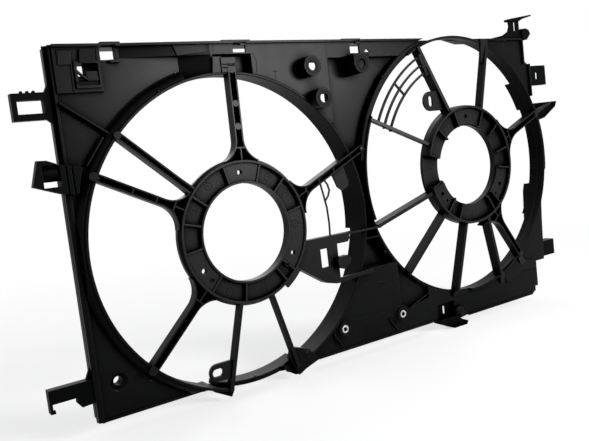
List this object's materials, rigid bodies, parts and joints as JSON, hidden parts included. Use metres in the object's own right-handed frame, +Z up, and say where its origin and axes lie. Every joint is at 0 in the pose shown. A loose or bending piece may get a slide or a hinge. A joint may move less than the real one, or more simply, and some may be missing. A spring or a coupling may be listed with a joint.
{
  "type": "radiator fan shroud",
  "caption": "Moulded panel that holds side-by-side electric cooling fans behind a radiator: spoked fan barrels, motor rings, latch windows, standoffs and brackets.",
  "frame": {"origin": "on the left motor's axis, level with the raised panel face, inside the left motor ring's bore wall", "axes": "+X along the width towards the right fan, +Z up, -Y out of the face that the motors are screwed to"},
  "size_m": [0.778, 0.054, 0.4085],
  "materials": {
    "panel_plastic": "fine satin grain",
    "barrel_plastic": "fine satin grain",
    "ring_plastic": "satin",
    "spoke_plastic": "satin",
    "bracket_plastic": "satin",
    "insert_metal": "zinc plated, turned"
  },
  "bodies": {
    "root": {"barrel_left": "barrel_plastic", "barrel_right": "barrel_plastic", "blade_guard": "spoke_plastic", "bottom_foot": "bracket_plastic", "bottom_spoke_foot": "bracket_plastic", "bracket_window_left": "bracket_plastic", "clip_box_left": "bracket_plastic", "connector_bracket": "spoke_plastic", "connector_knob": "spoke_plastic", "guard_clamp": "spoke_plastic", "gusset_arm": "bracket_plastic", "gusset_rib_lower": "panel_plastic", "gusset_rib_upper": "panel_plastic", "hook_arm_left": "bracket_plastic", "insert_boss_left": "panel_plastic", "insert_boss_right": "panel_plastic", "insert_gusset_left": "panel_plastic", "insert_gusset_right": "panel_plastic", "insert_sleeves": "insert_metal", "left_edge_channel": "panel_plastic", "motor_ring_left": "ring_plastic", "motor_ring_right": "ring_plastic", "panel_between": "panel_plastic", "panel_lower_centre": "panel_plastic", "panel_lower_left": "panel_plastic", "panel_lower_right": "panel_plastic", "panel_plateau": "panel_plastic", "panel_upper_left": "panel_plastic", "panel_upper_right": "panel_plastic", "side_box": "bracket_plastic", "side_tab": "bracket_plastic", "slotted_tab_left": "spoke_plastic", "slotted_tab_right": "spoke_plastic", "spoke_gusset": "spoke_plastic", "spoke_left_bottom": "spoke_plastic", "spoke_left_left": "spoke_plastic", "spoke_left_lower_left": "spoke_plastic", "spoke_left_lower_right": "spoke_plastic", "spoke_left_top": "spoke_plastic", "spoke_left_upper_left": "spoke_plastic", "spoke_left_upper_right": "spoke_plastic", "spoke_right_bottom": "spoke_plastic", "spoke_right_guard": "spoke_plastic", "spoke_right_left": "spoke_plastic", "spoke_right_lower": "spoke_plastic", "spoke_right_lower_left": "spoke_plastic", "spoke_right_lower_right": "spoke_plastic", "spoke_right_right": "spoke_plastic", "spoke_right_top": "spoke_plastic", "spoke_right_upper_right": "spoke_plastic", "standoff_lower": "bracket_plastic", "standoff_side": "bracket_plastic", "standoff_upper": "bracket_plastic", "tether_loop": "spoke_plastic", "top_hook": "bracket_plastic", "top_spoke_block": "panel_plastic", "valley_web": "panel_plastic"}
  },
  "joints": []
}
